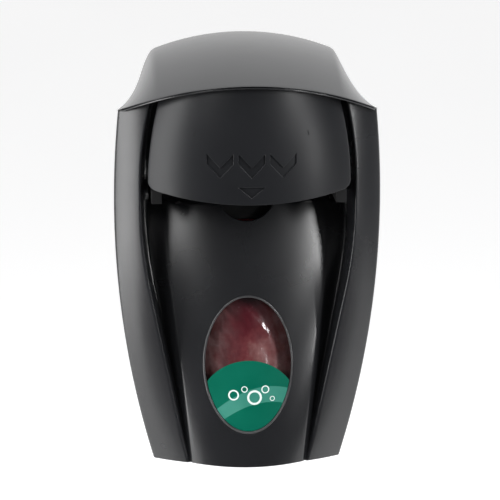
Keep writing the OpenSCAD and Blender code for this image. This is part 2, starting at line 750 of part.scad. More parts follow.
// Piece of the column's skin, from depth d0 to d1 behind the cover's outer face
module column_patch(d0, d1) {
    rows = 12;
    cols = 12;
    z0 = bot_z + window_rise - window_h / 2 - 1;
    z1 = bot_z + window_rise + window_h / 2 + 1;
    x1 = window_w / 2 + 1;
    grid = [for (r = [0:rows]) [for (c = [-cols:2:cols]) let (z = mix(z0, z1, r / rows), x = x1 * c / cols)
        [x, column_surface_y(x, z), z]]];
    shell([for (row = grid) [for (p = row) p + [0, d0, 0]]],
        [for (row = grid) [for (p = row) p + [0, d1, 0]]]);
}

module window_bezel() {
    color([0.3, 0.3, 0.31]) intersection() {
        column_patch(-0.4, wall);
        along_y(-body_d, -recess_d) difference() {
            window_shape(-0.05);
            window_shape(-bezel_w);
        }
    }
}

module window_lens() {
    color([0.75, 0.75, 0.78, 0.35]) intersection() {
        column_patch(0.6, 2.2);
        along_y(-body_d, -recess_d) window_shape(-bezel_w - 0.05);
    }
}

label_r = 30;
label_inset = 0.3;

module window_label() {
    label_top = bot_z + window_rise - window_h / 2 + label_h;
    color([0, 0.44, 0.36]) intersection() {
        column_patch(0.25, 0.59);
        along_y(-body_d, -recess_d) intersection() {
            window_shape(-bezel_w - label_inset);
            translate([0, label_top - label_r]) circle(r = label_r, $fn = 72);
        }
    }
}

module pivot_pins() {
    color("silver") both_sides()
        pin_x(pivot_lug_x - 1, ear_in_x + ear_w + 0.8, pivot_y, pivot_z, pivot_pin_r);
}

// ---- Push lever ----

function panel_half_x(z) = rail_in_x(z) - panel_gap;
function panel_low(x) = panel_low_z + panel_side_rise * pow(x / panel_half_x(panel_low_z + 8), 2);
function panel_y(x, z) = let (half = panel_half_x(z), r = arc_r(half, panel_edge_y - panel_front_y))
    panel_front_y + arc_fall(x, r) + panel_bulge * pow((z - mix(panel_low_z, panel_top_z, 0.5)) / 34, 2);

module push_panel() {
    rows = 12;
    cols = 10;
    // Near the lower edge the sides pull in, which rounds the corners
    function tuck(z_over) = z_over < panel_corner_r ?
        panel_corner_r - sqrt(max(0, pow(panel_corner_r, 2) - pow(panel_corner_r - z_over, 2))) : 0;
    outer = [for (r = [0:rows]) let (t = pow(r / rows, 1.6)) mirrored([for (c = [0:cols + 1]) let (
        f = min(1, c / cols),
        over = t * (panel_top_z - panel_low_z - panel_side_rise),
        x0 = panel_half_x(panel_low_z + panel_side_rise + over) * f,
        x = x0 - tuck(over) * f * 0.95,
        low = panel_low(x),
        z = min(mix(low, panel_top_z, t), seam_z(x) - arch_h - panel_top_gap),
        y = panel_y(x, z))
        [x + (c > cols ? -0.6 : 0), y + (c > cols ? panel_return : 0), z]])];
    inner = [for (row = outer) inset_path(row, wall)];
    color([0.09, 0.09, 0.1]) difference() {
        union() {
            shell(outer, inner);
            panel_screw_places() translate([0, -snug, 0]) rotate([90, 0, 0])
                cylinder(r = 3.2, h = arm_y - panel_y(panel_screw_x, pivot_z - 30) - wall / 2);
        }
        panel_screw_places() translate([0, 1, 0]) rotate([90, 0, 0])
            cylinder(r = panel_screw_r + snug, h = panel_screw_grip + 2);
    }
}

panel_screw_x = 30;
panel_screw_r = 1.25;
panel_screw_grip = 8;
bar_places = [pivot_z - 13, pivot_z - 45];
bar_h = 6;

module panel_screw_places() {
    for (sx = [-1, 1], z = bar_places) translate([sx * panel_screw_x, arm_y, z + bar_h / 2]) children();
}

// Side post of the lever in Y and Z: the pivot's ear and the post behind the panel
module arm_side() {
    translate([pivot_y, pivot_z]) circle(r = pivot_lug_r);
    polygon([[pivot_y - 3.5, pivot_z - 3], [pivot_y + 3.5, pivot_z + 3],
        [arm_y + arm_t, pivot_z - 12], [arm_y, pivot_z - 12]]);
    translate([arm_y, arm_bridge_z]) square([arm_t, pivot_z - 11 - arm_bridge_z]);
}

// Short bridge from the post to the block below it
module arm_bridge() {
    translate([arm_y, arm_bridge_z - arm_bridge_lap]) square([arm_t, arm_bridge_h + arm_bridge_lap]);
}

// Block that reaches back through the slot, and the leg behind it
module arm_block() {
    translate([arm_y, arm_block_z]) square([leg_front_y + leg_t - arm_y, arm_block_h]);
}

module arm_leg() {
    translate([leg_front_y, toe_z]) square([leg_t, arm_block_z + arm_block_h - toe_z]);
    translate([leg_front_y + leg_t / 2, toe_z]) circle(r = leg_t / 2);
}

module push_frame() {
    color(dark) difference() {
        union() {
            both_sides() {
                along_x(ear_in_x, ear_in_x + ear_w) arm_side();
                along_x(bridge_in_x, bridge_out_x) arm_bridge();
                along_x(arm_in_x, arm_in_x + arm_w) arm_block();
                along_x(arm_in_x, arm_in_x + arm_w) arm_leg();
                pin_x(strap_x + strap_t + 1, arm_in_x + 1, toe_y, toe_z, toe_r);
            }
            for (z = bar_places) translate([-ear_in_x - 1, arm_y, z]) cube([2 * ear_in_x + 2, arm_t, bar_h]);
        }
        both_sides() pin_x(ear_in_x - 1, ear_in_x + ear_w + 1, pivot_y, pivot_z, pivot_pin_r + running_fit);
        panel_screw_places() rotate([-90, 0, 0]) translate([0, 0, -1])
            cylinder(r = panel_screw_r + snug, h = arm_t + 2);
    }
}

module panel_screws() {
    color("silver") panel_screw_places() translate([0, arm_t, 0]) rotate([-90, 0, 0])
        screw(panel_screw_r, arm_t + panel_screw_grip, 2.4, 1.5);
}

// ---- Pump drive ----

module yoke() {
    color(dark) difference() {
        union() {
            both_sides() {
                translate([strap_x, strap_front_y, yoke_z])
                    cube([strap_t, strap_rear_y - strap_front_y, shelf_z + shelf_t - yoke_z]);
                translate([strap_x, toe_y - toe_r - 2, shelf_z])
                    cube([shelf_out_x - strap_x, toe_slide + 2 * toe_r + 4, shelf_t]);
            }
            translate([0, 0, yoke_z]) linear_extrude(yoke_t) union() {
                translate([-strap_x - 1, strap_front_y])
                    square([2 * strap_x + 2, strap_rear_y - strap_front_y]);
                translate([0, -pump_d]) circle(r = nozzle_flange_r + 3);
                translate([-10, -pump_d]) square([20, pump_d + strap_rear_y]);
            }
        }
        translate([0, -pump_d, yoke_z - 1]) cylinder(r = socket_r + snug, h = yoke_t + 2);
    }
}

stem_low = yoke_z + 2.2;
seal_h = 2;

module pump_piston() {
    color([0.9, 0.9, 0.92]) translate([0, -pump_d, 0]) difference() {
        union() {
            translate([0, 0, piston_z]) cylinder(r = barrel_r - running_fit, h = piston_h);
            translate([0, 0, stem_low]) cylinder(r = stem_r, h = piston_z - stem_low + 1);
        }
        translate([0, 0, stem_low - 1]) cylinder(r = stem_r - 1.8, h = piston_z + piston_h - stem_low + 2);
        translate([0, 0, piston_z + 2]) difference() {
            cylinder(r = barrel_r + 1, h = seal_h);
            translate([0, 0, -1]) cylinder(r = barrel_r - 1.4, h = seal_h + 2);
        }
    }
}

module piston_seal() {
    color(dark) translate([0, -pump_d, piston_z + 2 + snug]) difference() {
        cylinder(r = barrel_r - running_fit, h = seal_h - 2 * snug);
        translate([0, 0, -1]) cylinder(r = barrel_r - 1.4 + snug, h = seal_h + 2);
    }
}

chamber_r = stem_r + 1.1;
socket_r = chamber_r + 2.4;
nozzle_flange_r = 11;
chamber_low = nozzle_z + 4;
chamber_high = stem_low - 0.2;

module nozzle() {
    color([0.9, 0.9, 0.92]) translate([0, -pump_d, 0]) difference() {
        union() {
            translate([0, 0, nozzle_z])
                cylinder(r1 = chamber_r + 0.8, r2 = socket_r, h = yoke_z - nozzle_z - 3.95, $fn = 64);
            translate([0, 0, yoke_z - 4]) cylinder(r = nozzle_flange_r, h = 3.95);
            translate([0, 0, yoke_z - 1]) cylinder(r = socket_r, h = yoke_t + 5);
        }
        translate([0, 0, nozzle_z - 1]) cylinder(r = outlet_r, h = 6);
        translate([0, 0, chamber_low]) cylinder(r = chamber_r, h = chamber_high - chamber_low);
        translate([0, 0, chamber_low + 1]) cylinder(r = stem_r + snug, h = 30);
    }
}

module screen_cartridge() {
    color([0.8, 0.82, 0.85]) translate([0, -pump_d, chamber_low + snug]) difference() {
        cylinder(r = chamber_r - snug, h = chamber_high - chamber_low - 0.1);
        translate([0, 0, -1]) cylinder(r = chamber_r - 1.4, h = 40);
    }
}

module foam_screens() {
    color("silver") for (z = [chamber_low + 1, chamber_high - 1.6]) translate([0, -pump_d, z])
        cylinder(r = chamber_r - 1.4 - snug, h = 0.5);
}

// ---- Release buttons ----

button_out_x = side_x(button_z) + 0.2;
button_head_r = button_r + 1.5;

module release_button() {
    color(dark) {
        inner_x = flange_x(button_z + button_head_r) - flange_t - 0.6;
        pin_x(inner_x, button_out_x, button_y, button_z, button_r);
        pin_x(inner_x - 2, inner_x + 0.5, button_y, button_z, button_head_r);
    }
}

module release_button_right() {
    release_button();
}

module release_button_left() {
    mirror([1, 0, 0]) release_button();
}

wall_plate();
mounting_tape();
cradle();
cradle_screws();
hinge_pins();
refill_bag();
bag_fitment();
pump_barrel();
pump_collar();
inlet_valve();
pump_spring();
front_cover();
top_hood();
hood_screws();
window_lens();
window_bezel();
window_label();
pivot_pins();
push_panel();
push_frame();
panel_screws();
yoke();
pump_piston();
piston_seal();
screen_cartridge();
foam_screens();
nozzle();
release_button_left();
release_button_right();
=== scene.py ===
import json
import math

import bpy
import bmesh
import numpy as np
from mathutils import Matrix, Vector


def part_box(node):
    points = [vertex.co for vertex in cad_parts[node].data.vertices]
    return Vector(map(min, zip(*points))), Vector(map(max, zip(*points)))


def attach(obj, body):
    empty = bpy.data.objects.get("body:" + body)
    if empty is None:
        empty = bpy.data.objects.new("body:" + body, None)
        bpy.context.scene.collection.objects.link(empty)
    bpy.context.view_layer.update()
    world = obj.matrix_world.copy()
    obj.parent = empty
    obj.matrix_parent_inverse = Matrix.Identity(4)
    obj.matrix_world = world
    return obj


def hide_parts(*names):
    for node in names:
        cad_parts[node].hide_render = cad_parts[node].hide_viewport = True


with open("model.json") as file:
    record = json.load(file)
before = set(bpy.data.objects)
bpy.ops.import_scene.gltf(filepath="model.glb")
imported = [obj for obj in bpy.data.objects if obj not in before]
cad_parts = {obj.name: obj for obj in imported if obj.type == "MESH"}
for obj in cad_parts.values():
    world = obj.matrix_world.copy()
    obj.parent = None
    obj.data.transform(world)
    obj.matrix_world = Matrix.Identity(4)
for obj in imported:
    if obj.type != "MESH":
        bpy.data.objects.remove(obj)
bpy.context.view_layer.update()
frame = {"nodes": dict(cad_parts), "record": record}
nodes = frame["nodes"]

MM = 0.001

# ---- Sizes in millimetres, in the same frame as the CAD ----

hood_lo, hood_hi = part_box("top_hood")
cover_lo, cover_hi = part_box("front_cover")
TOP = hood_hi.z / MM
BOT = cover_lo.z / MM
HALF_W = cover_hi.x / MM
BODY_D = -hood_lo.y / MM
WALL = 2.4
REAR_GAP = 5.0
SEAM = 0.5
TAPER = 11.0
RAIL_R = 559.0
RAIL_RISE = 13.0
FACE_W = 16.8
RAIL_IN_R_TOP = 195.0
RAIL_IN_R_LOW = 240.0
FACE_SLOPE = 0.2009
COLUMN_D = 80.0
COLUMN_LEAN = 26.0
RECESS_D = 44.0
VALLEY_D = 40.0
SCOOP_R = 18.0
WIDEST = TOP - 97.0
LEDGE = TOP - 95.2
LEDGE_H = 6.0
CORNER = TOP - 39.2
BRIM_RISE = 19.2
WINDOW_W = 54.2
WINDOW_H = 82.6
WINDOW_Z = BOT + 61.8
BEZEL_W = 1.4
LABEL_TOP = WINDOW_Z - WINDOW_H / 2 + 44.0
LABEL_R = 30.0
PANEL_LOW = TOP - 89.2
PANEL_GAP = 3.6
PANEL_INSET = 3.5
PANEL_RETURN = 12.0
PANEL_TOP_GAP = 0.4
PANEL_CORNER = 4.0
PANEL_LOW_BOW = 6.4
ARCH_H = 1.0
ARCH_D = 6.5
HINGE_ROUND = 7.0
HINGE_Y = -(REAR_GAP + HINGE_ROUND)
HINGE_Z = BOT + HINGE_ROUND
PIVOT_Y = -84.25
PIVOT_Z = TOP - 38.5
SCREW_X = 47.0
SCREW_Y = -38.2
PUMP_Y = -43.0
OUTLET_R = 24.0
SLOT_IN_X = 49.7
SLOT_OUT_X = 58.4
BUTTON_Y = -10.5
BUTTON_Z = CORNER - 22
BUTTON_R = 5.0
SIDES = ((-1, "left"), (1, "right"))


def mix(a, b, t):
    return a + (b - a) * t


def cap(t):
    return max(0.0, min(1.0, t))


def smooth(t):
    t = cap(t)
    return t * t * (3 - 2 * t)


def arc_r(half, rise):
    return (half * half + rise * rise) / (2 * rise)


def arc_fall(x, r):
    return r - math.sqrt(max(0.0, r * r - x * x))


# ---- The case's outer surfaces, from the same curves as the CAD ----


def rail_out_x(z):
    return HALF_W - arc_fall(z - WIDEST, RAIL_R)


def rail_out_y(z):
    return -mix(54.0, 68.0, cap((z - BOT) / (CORNER - BOT)))


def rail_in_y(z):
    return rail_out_y(z) - RAIL_RISE


def rail_in_x(z):
    tangent = FACE_SLOPE * RAIL_IN_R_LOW
    if z > TOP - 82:
        fall = (z - TOP + 82) ** 2 / (2 * RAIL_IN_R_TOP)
    elif z > WIDEST:
        fall = 0.0
    elif z > WIDEST - tangent:
        fall = (WIDEST - z) ** 2 / (2 * RAIL_IN_R_LOW)
    else:
        fall = tangent * FACE_SLOPE / 2 + (WIDEST - tangent - z) * FACE_SLOPE
    return HALF_W - FACE_W - fall


def column_t(z):
    return (z - BOT) / (LEDGE - BOT)


def ledge_t(z):
    return smooth((z - LEDGE + LEDGE_H / 2) / LEDGE_H)


def column_y(z):
    return -mix(COLUMN_D - COLUMN_LEAN * min(1.0, column_t(z)) ** 2, RECESS_D, ledge_t(z))


def shoulder_x(z):
    return rail_in_x(z) - mix(3.0, 16.0, cap(column_t(z)))


def valley_y(z):
    low = -rail_in_y(BOT) - 1.2
    return -mix(mix(low, VALLEY_D, cap(column_t(z))), RECESS_D, ledge_t(z))


def column_surface_y(x, z):
    crown = mix(mix(12.0, 8.0, cap(column_t(z))), 0.0, ledge_t(z))
    return column_y(z) + crown * (x / shoulder_x(z)) ** 2


CORNER_X = rail_out_x(CORNER) + 0.2
BRIM_PLAN_R = arc_r(CORNER_X, BODY_D - 70.0)
BRIM_ARCH_R = arc_r(CORNER_X, BRIM_RISE)
CROWN_X = HALF_W - 26.0
CROWN_R = arc_r(CROWN_X, 10.0)
CROWN_SHARE = CROWN_X / CORNER_X


def side_x(z):
    return rail_out_x(z) - TAPER


def brim_y(x):
    return -BODY_D + arc_fall(x, BRIM_PLAN_R)


def brim_z(x):
    return CORNER + BRIM_RISE - arc_fall(x, BRIM_ARCH_R)


def seam_z(x):
    return brim_z(x) - SEAM * (1 + (abs(x) / CORNER_X) ** 6)


def hood_rear(u):
    a = abs(u)
    if a < CROWN_SHARE:
        return u * CORNER_X, TOP - arc_fall(u * CORNER_X, CROWN_R)
    t = (a - CROWN_SHARE) / (1 - CROWN_SHARE)
    x = mix(CROWN_X, side_x(CORNER), t**0.6)
    return math.copysign(x, u), mix(TOP - 10.0, CORNER, t)


def hood_point(u, v):
    x0, z0 = hood_rear(u)
    return np.array([
        mix(x0, u * CORNER_X, v),
        mix(-REAR_GAP, brim_y(u * CORNER_X), v),
        mix(z0, brim_z(u * CORNER_X), v**1.8)])


PANEL_TOP = CORNER + BRIM_RISE - SEAM - ARCH_H - PANEL_TOP_GAP
PANEL_EDGE_Y = brim_y(rail_in_x(PANEL_LOW) - PANEL_GAP) + PANEL_INSET + 2.0
PANEL_FRONT_Y = -BODY_D + PANEL_INSET


def panel_half_x(z):
    return rail_in_x(z) - PANEL_GAP


def panel_low(x):
    return PANEL_LOW + PANEL_LOW_BOW * (x / panel_half_x(PANEL_LOW + 8)) ** 2


def panel_y(x, z):
    r = arc_r(panel_half_x(z), PANEL_EDGE_Y - PANEL_FRONT_Y)
    bulge = 1.5 * ((z - (PANEL_LOW + PANEL_TOP) / 2) / 34) ** 2
    return PANEL_FRONT_Y + arc_fall(x, r) + bulge


# ---- Mesh helpers ----


def add_mesh(name, points, faces, material, body, smooth_shade=True):
    """A piece from points in millimetres, riding on a CAD body."""
    mesh = bpy.data.meshes.new(name)
    mesh.from_pydata([tuple(c * MM for c in p) for p in points], [], faces)
    bm = bmesh.new()
    bm.from_mesh(mesh)
    bmesh.ops.recalc_face_normals(bm, faces=bm.faces)
    bm.to_mesh(mesh)
    bm.free()
    mesh.polygons.foreach_set("use_smooth", [smooth_shade] * len(mesh.polygons))
    obj = bpy.data.objects.new(name, mesh)
    bpy.context.scene.collection.objects.link(obj)
    if material:
        mesh.materials.append(material)
    if body:
        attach(obj, body)
    return obj


def grid_shell(outer, inner):
    """Points and faces of the closed solid between two grids with the same rows and columns."""
    outer, inner = np.asarray(outer), np.asarray(inner)
    rows, cols = outer.shape[:2]
    n = rows * cols
    points = np.vstack([outer.reshape(-1, 3), inner.reshape(-1, 3)])
    faces = []
    for r in range(rows - 1):
        for c in range(cols - 1):
            a, b = r * cols + c, (r + 1) * cols + c
            d, e = b + 1, a + 1
            faces.append((a, b, d, e))
            faces.append((n + a, n + e, n + d, n + b))
    for c in range(cols - 1):
        faces.append((c, c + 1, n + c + 1, n + c))
        t = (rows - 1) * cols + c
        faces.append((t + 1, t, n + t, n + t + 1))
    for r in range(rows - 1):
        a, b = r * cols, (r + 1) * cols
        faces.append((b, a, n + a, n + b))
        a, b = a + cols - 1, b + cols - 1
        faces.append((a, b, n + b, n + a))
    return points, faces


def offset_grid(outer, d):
    """The grid moved by d along its own normals, away from the side that faces out."""
    g = np.asarray(outer)
    du = np.gradient(g, axis=1)
    dv = np.gradient(g, axis=0)
    n = np.cross(du, dv)
    n /= np.linalg.norm(n, axis=2, keepdims=True) + 1e-12
    return g + n * d


def round_path(points, radii, steps=5):
    """Polyline in XY with each corner rounded by a curve that starts radii[i] before it."""
    out = []
    last = len(points) - 1
    for i, (p, r) in enumerate(zip(points, radii)):
        p = np.array(p, float)
        if i in (0, last) or r <= 0:
            out.append(p)
            continue
        a, b = np.array(points[i - 1], float) - p, np.array(points[i + 1], float) - p
        la, lb = np.linalg.norm(a), np.linalg.norm(b)
        r = min(r, 0.45 * la, 0.45 * lb)
        a, b = p + a / la * r, p + b / lb * r
        for k in range(steps + 1):
            t = k / steps
            out.append(a * (1 - t) ** 2 + 2 * p * t * (1 - t) + b * t * t)
    return out


def inset_path(points, d):
    """Polyline in XY moved to its left by d, mitred at the corners."""
    p = np.array(points, float)
    seg = p[1:] - p[:-1]
    seg /= np.linalg.norm(seg, axis=1, keepdims=True)
    normal = np.stack([-seg[:, 1], seg[:, 0]], axis=1)
    n1 = np.vstack([normal[:1], normal])
    n2 = np.vstack([normal, normal[-1:]])
    m = (n1 + n2) / (1 + np.sum(n1 * n2, axis=1, keepdims=True))
    return p + d * m


def loop_faces(n):
    """Faces of the closed solid between two loops of n points, one listed after the other."""
    ends = [tuple(range(n)), tuple(range(2 * n - 1, n - 1, -1))]
    return ends + [(i, i + n, (i + 1) % n + n, (i + 1) % n) for i in range(n)]


def prism(name, outline, y0, y1):
    """Solid between y0 and y1 with an outline in XZ, used to cut."""
    points = [(x, y, z) for y in (y0, y1) for x, z in outline]
    return add_mesh(name, points, loop_faces(len(outline)), None, None, False)


def side_prism(name, outline, x0, x1, material, body):
    """Solid between x0 and x1 with an outline in YZ."""
    points = [(x, y, z) for x in (x0, x1) for y, z in outline]
    return add_mesh(name, points, loop_faces(len(outline)), material, body, False)


def box_solid(name, lo, hi, material=None, body=None):
    x0, y0, z0 = lo
    x1, y1, z1 = hi
    points = [(x, y, z) for x in (x0, x1) for y in (y0, y1) for z in (z0, z1)]
    faces = [(0, 1, 3, 2), (4, 6, 7, 5), (0, 4, 5, 1), (2, 3, 7, 6), (0, 2, 6, 4), (1, 5, 7, 3)]
    return add_mesh(name, points, faces, material, body, False)


def circle_outline(cx, cz, rx, rz, n=64):
    return [(cx + rx * math.cos(2 * math.pi * i / n), cz + rz * math.sin(2 * math.pi * i / n))
            for i in range(n)]


def cylinder(name, centre, axis, r, length, material=None, body=None, n=48):
    """Cylinder from centre along axis 'x', 'y' or 'z'."""
    points = []
    for k in (0, 1):
        for i in range(n):
            a = 2 * math.pi * i / n
            p = (r * math.cos(a), r * math.sin(a), k * length)
            q = {"z": p, "x": (p[2], p[0], p[1]), "y": (p[1], p[2], p[0])}[axis]
            points.append(tuple(q[j] + centre[j] for j in range(3)))
    return add_mesh(name, points, loop_faces(n), material, body, False)


def boolean(obj, others, operation="DIFFERENCE"):
    """Applies the boolean of obj with each solid in others, and deletes those solids."""
    for o in others:
        mod = obj.modifiers.new("cut", "BOOLEAN")
        mod.operation = operation
        mod.solver = "EXACT"
        mod.object = o
        dg = bpy.context.evaluated_depsgraph_get()
        mesh = bpy.data.meshes.new_from_object(obj.evaluated_get(dg))
        obj.modifiers.clear()
        old = obj.data
        obj.data = mesh
        bpy.data.meshes.remove(old)
        bpy.data.objects.remove(o)


def bevel(obj, width):
    """Rounds the edges that turn by more than 40 degrees."""
    mod = obj.modifiers.new("edge", "BEVEL")
    mod.width = width * MM
    mod.segments = 3
    mod.limit_method = "ANGLE"
    mod.angle_limit = math.radians(40)
    mod.harden_normals = False
    return obj


def sharp_by_angle(obj, degrees=35):
    """Keeps shading smooth on the faces and sharp at the real edges."""
    mesh = obj.data
    limit = math.radians(degrees)
    bm = bmesh.new()
    bm.from_mesh(mesh)
    for e in bm.edges:
        e.smooth = not (len(e.link_faces) == 2 and e.calc_face_angle(0.0) > limit)
    bm.to_mesh(mesh)
    bm.free()
    mesh.polygons.foreach_set("use_smooth", [True] * len(mesh.polygons))
    return obj


# ---- Materials ----


class Mat:
    """A node material, with short helpers to add and join nodes."""

    def __init__(self, name):
        self.mat = bpy.data.materials.new(name)
        self.mat.use_nodes = True
        self.tree = self.mat.node_tree
        self.tree.nodes.clear()
        self.out = self.node("ShaderNodeOutputMaterial")
        self.bsdf = self.node("ShaderNodeBsdfPrincipled")
        self.join(self.bsdf.outputs[0], self.out.inputs["Surface"])
        self.coord = self.node("ShaderNodeTexCoord").outputs["Object"]

    def node(self, kind, **values):
        n = self.tree.nodes.new(kind)
        for k, v in values.items():
            setattr(n, k, v)
        return n

    def join(self, a, b):
        self.tree.links.new(a, b)

    def set(self, key, value):
        self.bsdf.inputs[key].default_value = value
        return self

    def feed(self, key, output):
        self.join(output, self.bsdf.inputs[key])

    def noise(self, scale, detail=3.0, rough=0.55, stretch=(1, 1, 1)):
        mapping = self.node("ShaderNodeMapping")
        mapping.inputs["Scale"].default_value = stretch
        self.join(self.coord, mapping.inputs["Vector"])
        n = self.node("ShaderNodeTexNoise")
        n.inputs["Scale"].default_value = scale
        n.inputs["Detail"].default_value = detail
        n.inputs["Roughness"].default_value = rough
        self.join(mapping.outputs[0], n.inputs["Vector"])
        return n.outputs["Fac"]

    def ramp(self, fac, stops):
        r = self.node("ShaderNodeValToRGB")
        while len(r.color_ramp.elements) < len(stops):
            r.color_ramp.elements.new(0.5)
        for e, (pos, col) in zip(r.color_ramp.elements, stops):
            e.position = pos
            e.color = (*col, 1.0) if len(col) == 3 else col
        self.join(fac, r.inputs["Fac"])
        return r.outputs["Color"]

    def remap(self, fac, low, high):
        m = self.node("ShaderNodeMapRange")
        m.inputs["From Min"].default_value = 0.3
        m.inputs["From Max"].default_value = 0.7
        m.inputs["To Min"].default_value = low
        m.inputs["To Max"].default_value = high
        self.join(fac, m.inputs["Value"])
        return m.outputs["Result"]

    def blend(self, fac, a, b):
        m = self.node("ShaderNodeMix", data_type="RGBA")
        if isinstance(fac, float):
            m.inputs["Factor"].default_value = fac
        else:
            self.join(fac, m.inputs["Factor"])
        for socket, v in ((m.inputs[6], a), (m.inputs[7], b)):
            if isinstance(v, tuple):
                socket.default_value = (*v, 1.0)
            else:
                self.join(v, socket)
        return m.outputs[2]

    def math(self, op, a, b=None):
        m = self.node("ShaderNodeMath", operation=op)
        for socket, v in ((m.inputs[0], a), (m.inputs[1], b)):
            if v is None:
                continue
            if isinstance(v, (int, float)):
                socket.default_value = v
            else:
                self.join(v, socket)
        return m.outputs[0]

    def edge(self, radius):
        """Rounded normal, and how far it turns from the real one: 0 on a face, more at an edge."""
        b = self.node("ShaderNodeBevel", samples=4)
        b.inputs["Radius"].default_value = radius * MM
        g = self.node("ShaderNodeNewGeometry")
        dot = self.node("ShaderNodeVectorMath", operation="DOT_PRODUCT")
        self.join(b.outputs[0], dot.inputs[0])
        self.join(g.outputs["Normal"], dot.inputs[1])
        turn = self.math("SUBTRACT", 1.0, dot.outputs["Value"])
        return b.outputs[0], self.math("MINIMUM", self.math("MULTIPLY", turn, 3.0), 1.0)

    def bump(self, height, distance, normal=None):
        b = self.node("ShaderNodeBump")
        b.inputs["Distance"].default_value = distance * MM
        b.inputs["Strength"].default_value = 1.0
        self.join(height, b.inputs["Height"])
        if normal:
            self.join(normal, b.inputs["Normal"])
        return b.outputs[0]


def plastic(name, colour, rough, grain=0.004, edge_radius=0.5, edge_highlight_gain=1.8, ior=1.5, shine=0.5):
    """Moulded plastic: faint mottling, fine grain, and edges painted a little lighter as a painted
    highlight, and made a little glossier.
    """
    m = Mat(name)
    normal, edge = m.edge(edge_radius)
    cloud = m.noise(22, 4)
    dark = tuple(c * 0.86 for c in colour)
    light = tuple(min(1.0, c * 1.12) for c in colour)
    base = m.ramp(cloud, [(0.3, dark), (0.7, light)])
    # painted highlight: the base colour is lightened along the rounded edges, standing in for the
    # light they catch
    edge_highlit_colour = m.blend(edge, base, tuple(min(1.0, c * edge_highlight_gain) for c in colour))
    m.feed("Base Color", edge_highlit_colour)
    smudge = m.noise(9, 5, 0.6)
    r = m.remap(smudge, rough * 0.86, rough * 1.14)
    m.feed("Roughness", m.math("SUBTRACT", r, m.math("MULTIPLY", edge, rough * 0.2)))
    m.feed("Normal", m.bump(m.noise(1500, 2), grain, normal))
    m.set("IOR", ior).set("Specular IOR Level", shine)
    return m.mat


def metal(name, colour, rough):
    m = Mat(name)
    normal, edge = m.edge(0.15)
    fine = m.noise(260, 4, 0.6, (1, 1, 8))
    m.feed("Base Color", m.ramp(fine, [(0.3, tuple(c * 0.78 for c in colour)), (0.7, colour)]))
    m.feed("Roughness", m.remap(fine, rough * 0.8, rough * 1.3))
    m.feed("Normal", m.bump(fine, 0.01, normal))
    m.set("Metallic", 1.0)
    return m.mat


def clear_plastic(name):
    """Thin clear window, with faint scuffs that show in its see-through tint, under a clear shine.
    """
    m = Mat(name)
    scuff = m.noise(120, 5, 0.7, (1, 1, 3))
    m.feed("Roughness", m.remap(scuff, 0.03, 0.12))
    m.feed("Normal", m.bump(m.noise(30, 2), 0.02))
    m.feed("Base Color", m.ramp(scuff, [(0.3, (0.93, 0.93, 0.94)), (0.7, (0.98, 0.98, 0.98))]))
    m.set("IOR", 1.3)
    glass = m.node("ShaderNodeBsdfTransparent")
    tint = m.ramp(scuff, [(0.3, (0.88, 0.88, 0.89)), (0.7, (0.94, 0.94, 0.94))])
    m.join(tint, glass.inputs["Color"])
    shine = m.node("ShaderNodeBsdfGlossy")
    shine.inputs["Roughness"].default_value = 0.06
    layer = m.node("ShaderNodeLayerWeight")
    layer.inputs["Blend"].default_value = 0.12
    mixer = m.node("ShaderNodeMixShader")
    m.join(layer.outputs["Fresnel"], mixer.inputs[0])
    m.join(glass.outputs[0], mixer.inputs[1])
    m.join(shine.outputs[0], mixer.inputs[2])
    m.join(mixer.outputs[0], m.out.inputs["Surface"])
    return m.mat


def pouch_film(name):
    """Clear crinkled film over dark red soap, with paler streaks painted in as highlights on its
    folds, and paler towards the sides.
    """
    m = Mat(name)
    fold_sheen = m.noise(34, 6, 0.62, (1.0, 1.0, 0.75))
    fine = m.noise(120, 4, 0.6)
    xyz = m.node("ShaderNodeSeparateXYZ")
    m.join(m.coord, xyz.inputs[0])
    side = m.math("MULTIPLY", m.math("ABSOLUTE", xyz.outputs["X"]), 48.0)
    side = m.math("POWER", m.math("MINIMUM", side, 1.0), 1.6)
    # dark red soap colour; the upper stops paint pale streaks as painted highlights where the
    # folds would catch the light
    base = m.ramp(fold_sheen, [(0.33, (0.075, 0.006, 0.012)), (0.52, (0.12, 0.012, 0.02)),
                           (0.62, (0.2, 0.045, 0.05)), (0.72, (0.34, 0.16, 0.15))])
    pale = m.ramp(fine, [(0.35, (0.27, 0.11, 0.105)), (0.65, (0.4, 0.25, 0.24))])
    m.feed("Base Color", m.blend(m.math("MULTIPLY", side, 0.75), base, pale))
    m.feed("Roughness", m.remap(fine, 0.12, 0.3))
    m.feed("Normal", m.bump(fine, 0.35))
    m.set("Coat Weight", 0.9).set("Coat Roughness", 0.05)
    return m.mat


# Centre and radius of each bubble printed on the label
BUBBLES = ((-9, -83, 3.2), (-2.5, -79.5, 1.9), (3.5, -84.5, 4.4), (10, -79.8, 2.4),
           (14.2, -85.5, 1.5))


